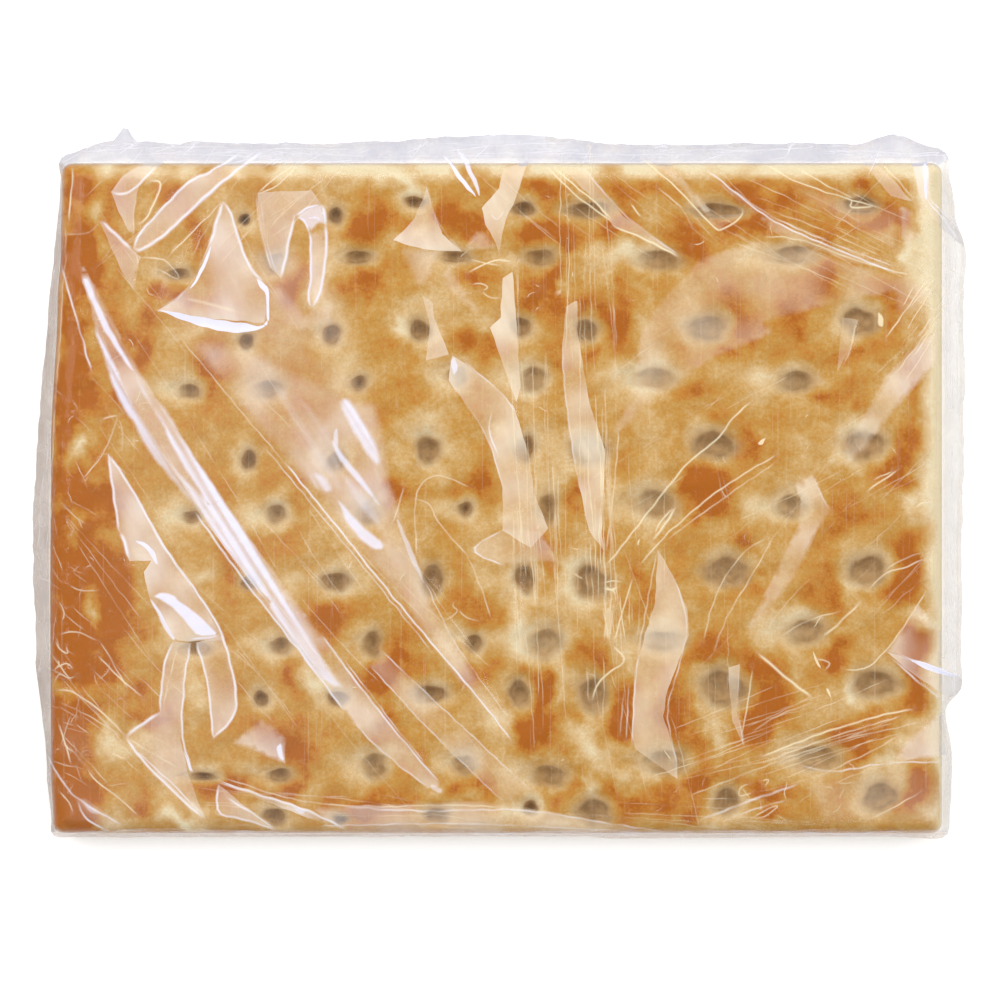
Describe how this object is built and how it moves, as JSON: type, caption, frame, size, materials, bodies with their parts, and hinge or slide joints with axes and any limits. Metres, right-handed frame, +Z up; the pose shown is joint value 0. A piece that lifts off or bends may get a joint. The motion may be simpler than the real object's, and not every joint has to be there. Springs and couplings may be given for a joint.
{
  "type": "bagged focaccia",
  "caption": "Flat rectangular focaccia with rows of pressed dimples, sealed in a clear, crumpled film bag that hugs it and stands out round its edges.",
  "frame": {"origin": "under the middle of the bag's box, on the surface it lies on", "axes": "+X along the bread's long side, +Y towards the far long side, +Z up out of the dimpled crust"},
  "size_m": [0.4204, 0.3214, 0.0237],
  "materials": {
    "crust": "satin",
    "film": "gloss"
  },
  "bodies": {
    "root": {"wrapped_focaccia": "crust"}
  },
  "joints": []
}
